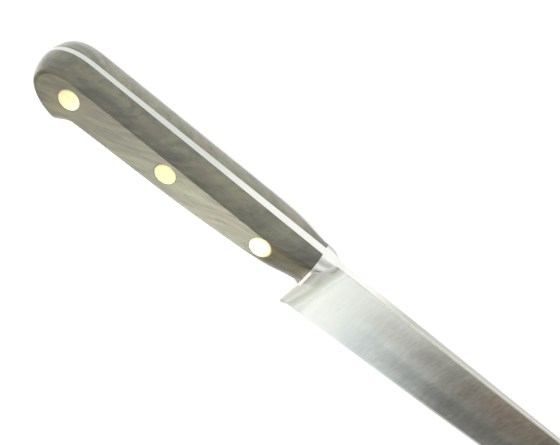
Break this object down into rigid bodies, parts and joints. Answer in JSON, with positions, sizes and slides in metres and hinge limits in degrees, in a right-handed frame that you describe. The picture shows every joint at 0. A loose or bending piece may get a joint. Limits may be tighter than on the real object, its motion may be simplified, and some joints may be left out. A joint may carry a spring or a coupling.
{
  "type": "carving knife",
  "caption": "Forged carving knife with a long straight-backed blade, integral bolster and a riveted wooden handle on a full tapered tang.",
  "frame": {"origin": "middle of the bounding box, on the plane that the knife's flat left side rests on", "axes": "+X towards the tip, +Y towards the spine, +Z out of the right side, which faces up"},
  "size_m": [0.3132, 0.0334, 0.0192],
  "materials": {
    "steel": "satin",
    "wood": "satin",
    "brass": "satin"
  },
  "bodies": {
    "root": {"blade": "steel", "right_scale": "wood", "left_scale": "wood", "butt_rivet_female": "brass", "butt_rivet_male": "brass", "middle_rivet_female": "brass", "middle_rivet_male": "brass", "front_rivet_female": "brass", "front_rivet_male": "brass"}
  },
  "joints": []
}
